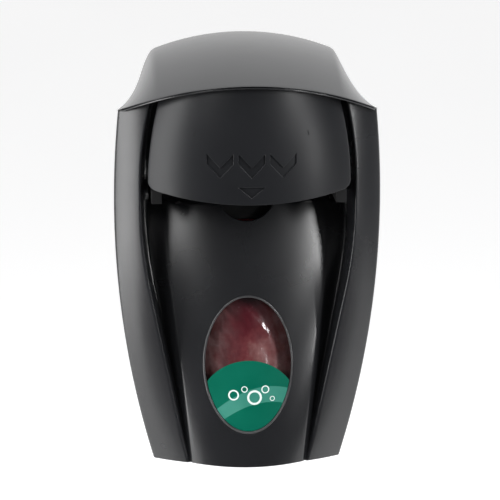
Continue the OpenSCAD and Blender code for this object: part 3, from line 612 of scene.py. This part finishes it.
def label_film(name):
    """Printed film in two greens, with plain bands and a scatter of round bubbles."""
    m = Mat(name)
    xyz = m.node("ShaderNodeSeparateXYZ")
    m.join(m.coord, xyz.inputs[0])
    x, z = xyz.outputs["X"], xyz.outputs["Z"]
    mottled = m.noise(60, 3)
    dark = m.ramp(mottled, [(0.3, (0.0, 0.1, 0.062)), (0.7, (0.001, 0.115, 0.072))])
    light = m.ramp(mottled, [(0.3, (0.035, 0.2, 0.15)), (0.7, (0.05, 0.235, 0.18))])
    bend = m.math("MULTIPLY", m.math("MULTIPLY", x, x), 14.0)
    height = m.math("ADD", z, m.math("ADD", m.math("MULTIPLY", x, -0.35), bend))
    low = m.math("GREATER_THAN", height, (WINDOW_Z - 24.5) * MM)
    high = m.math("LESS_THAN", height, (WINDOW_Z - 15.0) * MM)
    colour = m.blend(m.math("MULTIPLY", low, high), dark, light)
    for cx, cz, r in BUBBLES:
        dx = m.math("POWER", m.math("SUBTRACT", x, cx * MM), 2.0)
        dz = m.math("POWER", m.math("SUBTRACT", z, (cz + BOT + 127.0) * MM), 2.0)
        d = m.math("POWER", m.math("ADD", dx, dz), 0.5)
        inside = m.math("LESS_THAN", d, r * MM)
        hollow = m.math("GREATER_THAN", d, r * 0.72 * MM)
        colour = m.blend(m.math("MULTIPLY", inside, hollow), colour, (0.72, 0.82, 0.78))
    m.feed("Base Color", colour)
    m.feed("Roughness", m.remap(mottled, 0.45, 0.55))
    m.feed("Normal", m.bump(m.noise(400, 2), 0.01))
    m.set("Specular IOR Level", 0.08)
    return m.mat


def foam_tape(name):
    m = Mat(name)
    cells = m.noise(900, 3)
    m.feed("Base Color", m.ramp(cells, [(0.3, (0.2, 0.2, 0.21)), (0.7, (0.3, 0.3, 0.31))]))
    m.feed("Roughness", m.remap(cells, 0.8, 0.95))
    m.feed("Normal", m.bump(cells, 0.2))
    return m.mat


def woven_mesh(name):
    m = Mat(name)
    waves = []
    for direction in ("X", "Y"):
        w = m.node("ShaderNodeTexWave", wave_type="BANDS", bands_direction=direction)
        w.inputs["Scale"].default_value = 500.0
        m.join(m.coord, w.inputs["Vector"])
        waves.append(w.outputs["Fac"])
    weave = m.math("MAXIMUM", waves[0], waves[1])
    m.feed("Base Color", m.ramp(weave, [(0.2, (0.35, 0.35, 0.34)), (0.8, (0.8, 0.8, 0.78))]))
    m.feed("Normal", m.bump(weave, 0.05))
    m.set("Roughness", 0.6)
    return m.mat


MATS = {
    "shell_black": plastic("shell_black_plastic", (0.012, 0.0125, 0.014), 0.26),
    "panel_black": plastic("panel_black_plastic", (0.01, 0.0105, 0.012), 0.36, shine=0.26),
    # painted shade: a darker copy of the black plastic for the inner parts that sit in shadow
    "inner_black": plastic("shaded_inner_black_plastic", (0.008, 0.008, 0.0085), 0.62, 0.01, ior=1.35),
    "bezel_grey": plastic("bezel_plastic", (0.05, 0.05, 0.052), 0.2, 0.01, 0.2),
    "clear_lens": clear_plastic("window_plastic"),
    "label_green": label_film("label_print"),
    "pouch_soap": pouch_film("pouch_film"),
    "pump_white": plastic("pump_polypropylene", (0.72, 0.73, 0.74), 0.36, 0.02, 0.3, 1.15),
    "steel": metal("zinc_steel", (0.62, 0.62, 0.64), 0.3),
    "rubber_black": plastic("rubber", (0.02, 0.02, 0.02), 0.7, 0.05),
    "silicone": plastic("silicone", (0.62, 0.6, 0.55), 0.5, 0.03, 0.3, 1.1),
    "tape_grey": foam_tape("foam_tape"),
    "mesh": woven_mesh("nylon_mesh"),
}


def dress_cad():
    """Gives each CAD node the material of its slot."""
    for part in frame["record"]["subparts"]:
        obj = nodes[part["node"]]
        obj.data.materials.clear()
        obj.data.materials.append(MATS[part["material_slot"]])
        for p in obj.data.polygons:
            p.material_index = 0


# ---- Hood ----


def build_hood():
    rows, cols = 40, 64
    us = [mix(i / cols, math.sin(math.pi / 2 * i / cols), 0.35) for i in range(-cols, cols + 1)]
    outer = np.array([[hood_point(u, 1 - j / rows) for u in us] for j in range(rows + 1)])
    inner = offset_grid(outer, -WALL)
    for j in range(rows + 1):
        for i in range(len(us)):
            x, y, z = inner[j][i]
            lowest = min(outer[j][i][2], brim_z(min(abs(x), CORNER_X)))
            inner[j][i] = (x, min(y, -REAR_GAP), max(z, lowest))
    points, faces = grid_shell(outer, inner)
    hood = add_mesh("hood", points, faces, MATS["shell_black"], "cover")
    bevel(hood, 0.22)
    for side, word in SIDES:
        hood_lug(side, word)
        hood_post(side, word)
    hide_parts("top_hood")


def hood_lug(side, word):
    """Lug that carries the push lever's pivot pin, under the hood."""
    lug_x, lug_t, r = 42.0, 3.5, 4.5
    y0, z0 = PIVOT_Y, PIVOT_Z
    v = (-y0 - REAR_GAP) / (-brim_y(lug_x + lug_t) - REAR_GAP)
    roof = hood_point((lug_x + lug_t) / CORNER_X, v)[2] - WALL * 0.8
    outline = [(y0 + r * math.sin(a), z0 - r * math.cos(a))
               for a in np.linspace(-math.pi / 2, math.pi / 2, 17)]
    outline += [(y0 + r, roof - 1.5), (y0 - r, roof - 3.0)]
    return side_prism("hood_lug_" + word, outline, side * lug_x, side * (lug_x + lug_t),
                      MATS["shell_black"], "cover")


def hood_post(side, word):
    """Post that takes the hood's screw, from above the cover's boss up to the hood's roof."""
    low = CORNER + 2.3
    far_x, far_y = SCREW_X + 2.0, 40.2
    v = (far_y - REAR_GAP) / (-brim_y(far_x) - REAR_GAP)
    height = hood_point(far_x / CORNER_X, v)[2] - WALL * 0.6 - low
    return cylinder("hood_post_" + word, (side * SCREW_X, SCREW_Y, low), "z", 3.1, height,
                    MATS["shell_black"], "cover", 32)


# ---- Front cover ----


def cover_section(z):
    """Half of the cover's section at height z: control points in XY and the rounding at each."""
    xs, xi, xo, yv = shoulder_x(z), rail_in_x(z), rail_out_x(z), valley_y(z)
    ledge = 1 - ledge_t(z)
    ys = column_surface_y(xs, z)
    arc = [(xs * k / 14, column_surface_y(xs * k / 14, z)) for k in range(14)]
    control = arc + [
        (xs, ys),
        (mix(xs, xi - 1.5, 0.55), mix(ys, yv, 0.6)),
        (xi - 1.5, yv),
        (xi, rail_in_y(z)),
        (mix(xi, xo, 0.5) + 0.6, mix(rail_in_y(z), rail_out_y(z), 0.5) - 0.6),
        (xo, rail_out_y(z)),
        (xo - TAPER * 0.8, -38.0),
        (xo - TAPER, -REAR_GAP)]
    radii = [0.0] * 14 + [8.0 * ledge + 0.5, 7.0 * ledge + 0.5, 4.5, 2.2, 6.0, 2.4, 9.0, 0.0]
    return control, radii


def full_section(z, depth):
    """The whole rounded section at height z, moved in by depth."""
    control, radii = cover_section(z)
    whole = [(-x, y) for x, y in reversed(control[1:])] + control
    r = list(reversed(radii[1:])) + radii
    if depth:
        whole = inset_path(whole, depth)
        r = [max(0.4, v * 0.6) if v else 0.0 for v in r]
    return round_path(whole, r)


def cover_tops(section):
    """Height of the cover's upper edge above each point of its section at the corner."""
    tops = []
    for x, y in section:
        outside = y > rail_out_y(CORNER) + 0.5 and abs(x) > rail_in_x(CORNER) + 4
        seam_x = min(max(abs(x) + 1, rail_in_x(CORNER) - 4), CORNER_X)
        tops.append(CORNER - SEAM if outside else seam_z(seam_x))
    return tops


def cover_grid(depth, tops):
    """The cover's surface, moved in by depth: level rows, then rows that rise to the seam."""
    ledge_low, ledge_high = LEDGE - LEDGE_H / 2 - 1, LEDGE + LEDGE_H / 2 + 1
    low_rows, ledge_rows, top_rows = 62, 12, 22
    levels = [mix(BOT, ledge_low, i / low_rows) for i in range(low_rows + 1)]
    levels += [mix(ledge_low, ledge_high, i / ledge_rows) for i in range(1, ledge_rows + 1)]
    rows = [[(x, y, z) for x, y in full_section(z, depth)] for z in levels]
    sections = {}
    for k in range(1, top_rows + 1):
        row = []
        for i, top in enumerate(tops):
            z = round(mix(levels[-1], top, k / top_rows), 3)
            if z not in sections:
                sections[z] = full_section(z, depth)
            x, y = sections[z][i]
            row.append((x, y, z))
        rows.append(row)
    return rows


def cover_cuts():
    """Solids that cut the window, the scoop, the slots, the button holes and the hinge relief."""
    window = circle_outline(0, WINDOW_Z, WINDOW_W / 2, WINDOW_H / 2, 96)
    scoop = circle_outline(0, PANEL_LOW - 1, SCOOP_R, SCOOP_R, 72)
    cuts = [prism("cut_window", window, -BODY_D, -RECESS_D),
            prism("cut_scoop", scoop, -BODY_D, -RECESS_D - WALL)]
    for side, _ in SIDES:
        x0, x1 = sorted((side * SLOT_IN_X, side * SLOT_OUT_X))
        cuts.append(box_solid("cut_slot", (x0, -80, LEDGE - 3.5), (x1, -34, LEDGE + 22.5)))
        sx = side_x(BUTTON_Z)
        x0, x1 = sorted((side * (sx - 6), side * (sx + 6)))
        cuts.append(cylinder("cut_button", (x0, BUTTON_Y, BUTTON_Z), "x", BUTTON_R, 12))
        cuts.append(box_solid("cut_button_back", (x0, BUTTON_Y, BUTTON_Z - BUTTON_R),
                              (x1, 1.5, BUTTON_Z + BUTTON_R)))
        cuts.append(hinge_relief(side))
    return cuts


def build_cover():
    tops = cover_tops(full_section(CORNER, 0))
    points, faces = grid_shell(cover_grid(0.0, tops), cover_grid(WALL, tops))
    cover = add_mesh("front_cover_shell", points, faces, MATS["shell_black"], None)
    boolean(cover, cover_cuts())
    sharp_by_angle(cover)
    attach(cover, "cover")
    extras = [build_arch(), build_floor(), build_scoop_back()]
    for side, word in SIDES:
        extras += [hinge_ear(side, word), cover_boss(side, word)]
    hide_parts("front_cover")


def hinge_relief(side):
    """Solid that rounds the cover's lower rear corner about the hinge."""
    sx = side_x(HINGE_Z)
    x0, x1 = sorted((side * (sx - 9), side * (sx + 5)))
    block = box_solid("cut_hinge", (x0, HINGE_Y, BOT - 1), (x1, HINGE_Y + 20, HINGE_Z))
    boolean(block, [cylinder("cut_round", (x0 - 1, HINGE_Y, HINGE_Z), "x", HINGE_ROUND, 16)])
    return block


def build_arch():
    """The thin arch of the front cover under the hood's front edge."""
    n = 60
    xs = [(CORNER_X - 2.5) * i / n for i in range(-n, n + 1)]
    front = [[(x, brim_y(x) + 1, seam_z(x) + o) for x in xs] for o in (-ARCH_H, 0)]
    back = [[(x, y + ARCH_D, z) for x, y, z in row] for row in front]
    points, faces = grid_shell(front, back)
    arch = add_mesh("front_cover_arch", points, faces, MATS["shell_black"], "cover")
    sharp_by_angle(arch)
    return bevel(arch, 0.3)


def build_scoop_back():
    """Wall that closes the scoop from behind."""
    half = SCOOP_R + 2
    low, high = PANEL_LOW - 1 - SCOOP_R - 0.5, LEDGE + LEDGE_H / 2
    wall = box_solid("scoop_back", (-half, -RECESS_D - WALL, low), (half, -RECESS_D, high),
                     MATS["inner_black"], "cover")
    return bevel(wall, 0.4)


def build_floor():
    """Floor of the cover, with the round opening for the nozzle."""
    z = BOT + 0.4
    rear = -22.0
    section = full_section(BOT + 1.6, WALL / 2)
    outline = [(x, y) for x, y in section if y < rear]
    rear_x = side_x(BOT) + 1.0
    outline = [(-rear_x, rear)] + outline + [(rear_x, rear)]
    points = [(x, y, level) for level in (z, z + WALL) for x, y in outline]
    plate = add_mesh("front_cover_floor", points, loop_faces(len(outline)),
                     MATS["shell_black"], None, False)
    boolean(plate, [cylinder("cut_outlet", (0, PUMP_Y, z - 2), "z", OUTLET_R, 8, n=96)])
    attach(plate, "cover")
    return sharp_by_angle(plate)


def hinge_ear(side, word):
    """Ear of the cover with the hole for its hinge pin."""
    y, z, r = HINGE_Y, HINGE_Z, 5.6
    ear_out, ear_in = side_x(z) - WALL / 2, side_x(z) - WALL - 5.5
    outline = [(y + r * math.cos(a), z + r * math.sin(a))
               for a in np.linspace(-math.pi / 2, math.pi / 2, 21)]
    outline += [(y - 14, z + 0.2), (y - 14, z - 5.4), (y, z - 5.4)]
    ear = side_prism("cover_ear_" + word, outline, side * ear_in, side * ear_out,
                     MATS["shell_black"], None)
    x0, x1 = sorted((side * (ear_in - 2), side * (ear_out - 0.8)))
    boolean(ear, [cylinder("cut_pin", (x0, y, z), "x", 2.55, x1 - x0)])
    sharp_by_angle(ear)
    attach(ear, "cover")
    return ear


def cover_boss(side, word):
    """Boss of the cover under the hood's post."""
    boss = cylinder("cover_boss_" + word, (side * SCREW_X, SCREW_Y, CORNER - 6), "z", 4, 8,
                    MATS["shell_black"], "cover", 32)
    return sharp_by_angle(boss)


# ---- Window ----


def patch_row(x_half, z, d, n):
    return [(x, column_surface_y(x, z) + d, z) for x in np.linspace(-x_half, x_half, n)]


def build_window():
    """Lens, label and the rim round them, all following the column's surface."""
    ring_profile = [(0.0, 1.2), (0.0, -0.05), (0.15, -0.28), (0.45, -0.38),
                    (0.85, -0.32), (1.15, -0.05), (1.35, 0.5), (1.4, 1.2)]
    n = 144
    points, faces = [], []
    m = len(ring_profile)
    for i in range(n):
        a = 2 * math.pi * i / n
        for inward, d in ring_profile:
            x = (WINDOW_W / 2 - 0.05 - inward) * math.cos(a)
            z = WINDOW_Z + (WINDOW_H / 2 - 0.05 - inward) * math.sin(a)
            points.append((x, column_surface_y(x, z) + d, z))
    for i in range(n):
        for k in range(m):
            a, b = i * m + k, i * m + (k + 1) % m
            c, d = ((i + 1) % n) * m + (k + 1) % m, ((i + 1) % n) * m + k
            faces.append((a, b, c, d))
    rim = add_mesh("window_rim", points, faces, MATS["bezel_grey"], "cover")
    sharp_by_angle(rim, 50)
    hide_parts("window_bezel")
    lens = oval_patch("window_clear", BEZEL_W + 0.05, 0.6, 1.6, None, MATS["clear_lens"])
    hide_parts("window_lens")
    label = oval_patch("window_print", BEZEL_W + 0.3, 0.25, 0.59,
                       (LABEL_TOP - LABEL_R, LABEL_R), MATS["label_green"])
    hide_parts("window_label")


def oval_patch(name, margin, d0, d1, clip, material):
    """Curved sheet that fills the oval, less a margin, and optionally only inside a circle."""
    rx, rz = WINDOW_W / 2 - margin, WINDOW_H / 2 - margin
    rows, cols = 70, 34
    outer = []
    top = WINDOW_Z + rz
    if clip:
        top = clip[0] + clip[1]
    for r in range(rows + 1):
        t = (1 - math.cos(math.pi * r / rows)) / 2
        z = mix(WINDOW_Z - rz + 0.02, top - 0.02, t)
        half = rx * math.sqrt(max(0.0, 1 - ((z - WINDOW_Z) / rz) ** 2))
        if clip and z > clip[0]:
            half = min(half, math.sqrt(max(0.0, clip[1] ** 2 - (z - clip[0]) ** 2)))
        outer.append(patch_row(max(half, 0.2), z, d0, 2 * cols + 1))
    inner = [[(x, y + d1 - d0, z) for x, y, z in row] for row in outer]
    points, faces = grid_shell(outer, inner)
    return sharp_by_angle(add_mesh(name, points, faces, material, "cover"))


# ---- Push panel ----


def panel_section(r, rows, cols):
    """Right half of one row of the panel's face, from its lower edge (r = 0) to its top."""
    t = (r / rows) ** 1.6
    over = t * (PANEL_TOP - PANEL_LOW - PANEL_LOW_BOW)
    tuck = 0.0
    if over < PANEL_CORNER:
        tuck = PANEL_CORNER - math.sqrt(PANEL_CORNER**2 - (PANEL_CORNER - over) ** 2)
    half = []
    x_edge = panel_half_x(PANEL_LOW + PANEL_LOW_BOW + over) - tuck * 0.95
    for i in range(cols + 1):
        x = x_edge * (i / cols)
        z = min(mix(panel_low(x), PANEL_TOP, t), seam_z(x) - ARCH_H - PANEL_TOP_GAP)
        half.append((x, panel_y(x, z), z))
    return half


def build_panel():
    rows, cols, corner_steps = 56, 40, 6
    outer, inner = [], []
    for r in range(rows + 1):
        half = panel_section(r, rows, cols)
        xe, ye, ze = half[-1]
        grids = []
        for depth in (0.0, WALL):
            path = [(x, y) for x, y, _ in half] + [(xe - 0.6, ye + PANEL_RETURN)]
            whole = [(-x, y) for x, y in reversed(path[1:])] + path
            corner = 1.6 if depth == 0 else 0.5
            radii = [0.0, corner] + [0.0] * (2 * cols - 1) + [corner, 0.0]
            if depth:
                whole = [tuple(p) for p in inset_path(whole, depth)]
            flat = round_path(whole, radii, corner_steps)
            zs = [h[2] for h in half]
            zs = [ze] + list(reversed(zs[1:])) + zs + [ze]
            heights = []
            for i, z in enumerate(zs):
                heights += [z] * (corner_steps + 1 if radii[i] > 0 else 1)
            grids.append([(p[0], p[1], z) for p, z in zip(flat, heights)])
        outer.append(grids[0])
        inner.append(grids[1])
    points, faces = grid_shell(outer, inner)
    panel = add_mesh("push_plate", points, faces, MATS["panel_black"], None)
    boolean(panel, press_marks())
    sharp_by_angle(panel, 32)
    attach(panel, "push_lever")
    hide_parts("push_panel")
    boss_x, boss_end_y = 30, -83.0
    for side, word in SIDES:
        for z, level in ((PIVOT_Z - 13 + 3, "high"), (PIVOT_Z - 45 + 3, "low")):
            y0 = panel_y(boss_x, z) + WALL / 2
            boss = cylinder(f"panel_boss_{word}_{level}", (side * boss_x, y0, z), "y", 3.2,
                            boss_end_y - y0, MATS["inner_black"], "push_lever", 32)


def skin(name, z0, z1, half, d0, d1):
    """Curved slab that follows the panel's face, from d0 to d1 behind it."""
    rows = [[(x, panel_y(x, z) + d0, z) for x in np.linspace(-half, half, 61)]
            for z in np.linspace(z0, z1, 25)]
    back = [[(x, y + d1 - d0, z) for x, y, z in row] for row in rows]
    points, faces = grid_shell(rows, back)
    return add_mesh(name, points, faces, None, None)


def press_marks():
    """Shallow engraved marks for the hand: three chevrons in a row over a small triangle."""
    outlines = []
    for cx in (-18.2, 0.0, 18.2):
        w, top, low, t = 7.6, 67.6, 53.4, 6.0
        outlines.append([(cx - w, top), (cx, low + t), (cx + w, top),
                         (cx + w, top - t), (cx, low), (cx - w, top - t)])
    outlines.append([(-7.8, 48.2), (7.8, 48.2), (0, 41.6)])
    marks = []
    for i, outline in enumerate(outlines):
        block = prism(f"mark_{i}", outline, -BODY_D - 5, -BODY_D + 25)
        boolean(block, [skin(f"skin_{i}", 38.5, 70.0, 30, -1.5, 0.9)], "INTERSECT")
        marks.append(block)
    return marks


# ---- Refill pouch ----


def build_pouch():
    """Crinkled pouch inside the CAD pouch's outline, with flat edges and a folded front."""
    lo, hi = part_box("refill_bag")
    x1, y0, y1, z0, z1 = hi.x / MM, lo.y / MM, hi.y / MM, lo.z / MM, hi.z / MM
    rng = np.random.default_rng(7)
    folds = [(rng.uniform(0.3, 1.2), rng.uniform(0.1, 0.9),
              rng.uniform(0.1, 0.4), rng.uniform(0, 6.28)) for _ in range(14)]
    rows, cols = 120, 96
    bow = arc_r(41.0, 28.0)

    def crinkle(x, z):
        total = 0.0
        for amp, ang, freq, phase in folds:
            s = math.sin((x * math.cos(ang) + z * math.sin(ang)) * freq + phase)
            total += amp * (1 - abs(s)) ** 3
        return total / 3.5

    def front(x, z):
        level = min(z, LEDGE - 22)
        y = column_y(level) + WALL + 5.6
        if z > LEDGE - 22:
            y = mix(y, -36.0, smooth((z - LEDGE + 22) / 16))
        y += arc_fall(x, bow) * 0.97
        y += max(0.0, z - (z1 - 24)) ** 2 / 42
        y += max(0.0, (z0 + 6) - z) ** 2 / 9
        y += max(0.0, abs(x) - (x1 - 9)) ** 2 / 9
        return min(y + crinkle(x, z), y1 - 3.5)

    outer, inner = [], []
    for r in range(rows + 1):
        z = mix(z0 + 0.6, z1 - 0.6, r / rows)
        edge = x1 - 0.8
        if z < z0 + 16:
            edge = x1 - 16 + math.sqrt(max(0.0, 256 - (z0 + 16 - z) ** 2)) - 0.8
        if z > z1 - 12:
            edge = mix(x1 - 1, x1 - 7, smooth((z - z1 + 12) / 12))
        xs = np.linspace(-max(edge, 4), max(edge, 4), cols + 1)
        sag = 8.0 * cap((z0 + 30 - z) / 30) ** 2
        outer.append([(x, front(x, z), z - sag) for x in xs])
        inner.append([(x, max(front(x, z) + 1.2, y1 - 1.0 - 1.5 * (x / x1) ** 2), z) for x in xs])
    points, faces = grid_shell(outer, inner)
    pouch = add_mesh("pouch", points, faces, MATS["pouch_soap"], None)
    boolean(pouch, [cylinder("cut_pump", (0, PUMP_Y, z0 - 2), "z", 10.3, 18),
                    cylinder("cut_fitment", (0, PUMP_Y, z0 - 14), "z", 17.6, 14.1)])
    sharp_by_angle(pouch, 60)
    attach(pouch, "root")
    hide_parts("refill_bag")


# ---- Stage, lights and camera ----


def build_stage():
    m = Mat("pale_floor")
    cloud = m.noise(3, 3)
    m.feed("Base Color", m.ramp(cloud, [(0.3, (0.86, 0.86, 0.86)), (0.7, (0.9, 0.9, 0.9))]))
    m.set("Roughness", 0.85).set("Emission Strength", 0.5)
    m.set("Emission Color", (1.0, 1.0, 1.0, 1.0))
    bpy.ops.mesh.primitive_plane_add(size=1, location=(0, 5.6, (BOT - 350) * MM))
    floor = bpy.context.active_object
    floor.name = "floor"
    floor.scale = (2.8, 12.0, 1.0)
    floor.data.materials.append(m.mat)
    world = bpy.data.worlds.new("studio")
    bpy.context.scene.world = world
    world.use_nodes = True
    tree = world.node_tree
    tree.nodes.clear()
    out = tree.nodes.new("ShaderNodeOutputWorld")
    back = tree.nodes.new("ShaderNodeBackground")
    coord = tree.nodes.new("ShaderNodeTexCoord")
    xyz = tree.nodes.new("ShaderNodeSeparateXYZ")
    ramp = tree.nodes.new("ShaderNodeValToRGB")
    ramp.color_ramp.elements[0].position = 0.5
    ramp.color_ramp.elements[0].color = (0.1, 0.1, 0.105, 1)
    ramp.color_ramp.elements[1].position = 0.8
    ramp.color_ramp.elements[1].color = (1.15, 1.15, 1.15, 1)
    shift = tree.nodes.new("ShaderNodeMath")
    shift.operation = "MULTIPLY_ADD"
    shift.inputs[1].default_value = 0.5
    shift.inputs[2].default_value = 0.5
    tree.links.new(coord.outputs["Generated"], xyz.inputs[0])
    tree.links.new(xyz.outputs["Y"], shift.inputs[0])
    tree.links.new(shift.outputs[0], ramp.inputs["Fac"])
    tree.links.new(ramp.outputs["Color"], back.inputs["Color"])
    back.inputs["Strength"].default_value = 1.0
    tree.links.new(back.outputs[0], out.inputs["Surface"])


# Name, place, point it faces, width and height in metres, and power in watts
LIGHTS = (
    ("top_softbox", (0.0, -0.25, 1.05), (0, -0.05, 0.05), (1.1, 0.9), 12.5),
    ("left_softbox", (-1.2, -0.32, 0.0), (0, -0.06, 0.0), (0.6, 1.3), 17),
    ("front_left_softbox", (-0.7, -0.95, 0.6), (0, -0.06, 0.0), (0.4, 0.6), 5.5),
    ("right_strip", (0.76, -0.82, 0.5), (0, -0.06, 0.0), (0.14, 0.7), 10.0),
    ("low_right_strip", (1.0, -0.68, -0.05), (0, -0.06, -0.08), (0.06, 0.3), 2.4))


def area_light(name, place, target, size, power):
    data = bpy.data.lights.new(name, "AREA")
    data.shape = "RECTANGLE"
    data.size, data.size_y = size
    data.energy = power
    obj = bpy.data.objects.new(name, data)
    bpy.context.scene.collection.objects.link(obj)
    obj.location = place
    obj.rotation_euler = (Vector(target) - Vector(place)).to_track_quat("-Z", "Y").to_euler()


def build_camera():
    azimuth, elevation, distance = math.radians(-3.2), math.radians(11.0), 1.5
    target = Vector((0.00177, -0.06, 0.0018))
    level = math.cos(elevation)
    away = Vector((math.sin(azimuth) * level, -math.cos(azimuth) * level, math.sin(elevation)))
    data = bpy.data.cameras.new("camera")
    sensor_mm, focal_px, frame_px = 36.0, 2512.0, 500.0
    data.sensor_width = sensor_mm
    data.lens = sensor_mm * focal_px / frame_px
    data.clip_end = 50.0
    cam = bpy.data.objects.new("camera", data)
    bpy.context.scene.collection.objects.link(cam)
    cam.location = target + away * distance
    cam.rotation_euler = (-away).to_track_quat("-Z", "Y").to_euler()
    bpy.context.scene.camera = cam


dress_cad()
build_hood()
build_cover()
build_window()
build_panel()
build_pouch()
build_stage()
for light in LIGHTS:
    area_light(*light)
build_camera()
bpy.context.scene.view_settings.view_transform = "Standard"
